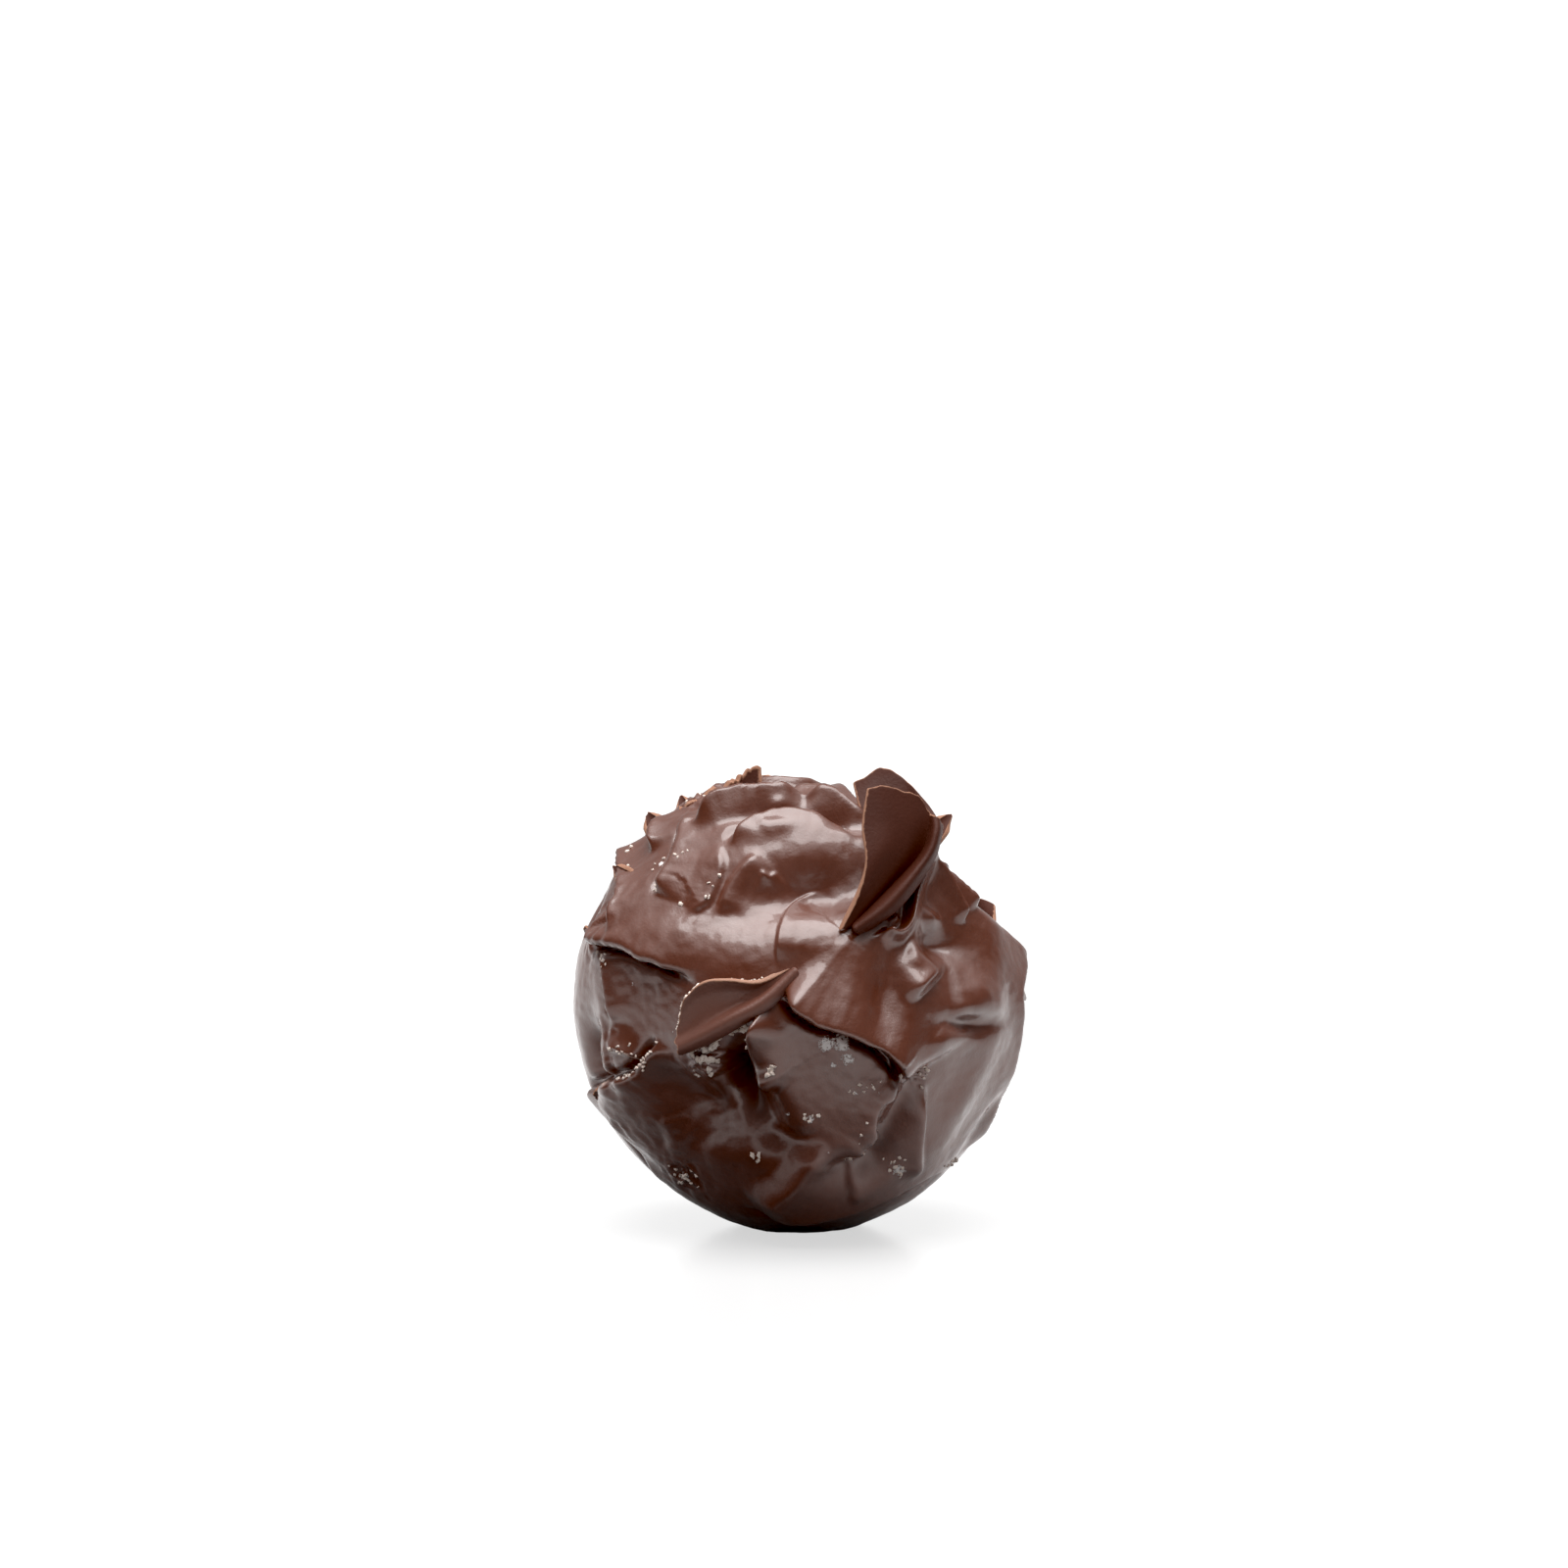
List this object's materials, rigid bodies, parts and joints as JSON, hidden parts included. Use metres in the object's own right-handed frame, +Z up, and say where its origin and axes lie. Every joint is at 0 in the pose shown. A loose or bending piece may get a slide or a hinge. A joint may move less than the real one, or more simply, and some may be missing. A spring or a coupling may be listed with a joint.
{
  "type": "chocolate praline",
  "caption": "Round hand-rolled chocolate praline with a smeared dark coat, pressed folds, thin lips and a tall curled flake, resting on a small flat spot.",
  "frame": {"origin": "centre of the flat resting spot, straight under the middle of the ball", "axes": "+Z up, -Y towards the side that shows the tall curl at the upper right, +X to the right of that side"},
  "size_m": [0.0269, 0.0284, 0.0274],
  "materials": {
    "chocolate_coat": null
  },
  "bodies": {
    "root": {"praline": "chocolate_coat"}
  },
  "joints": []
}
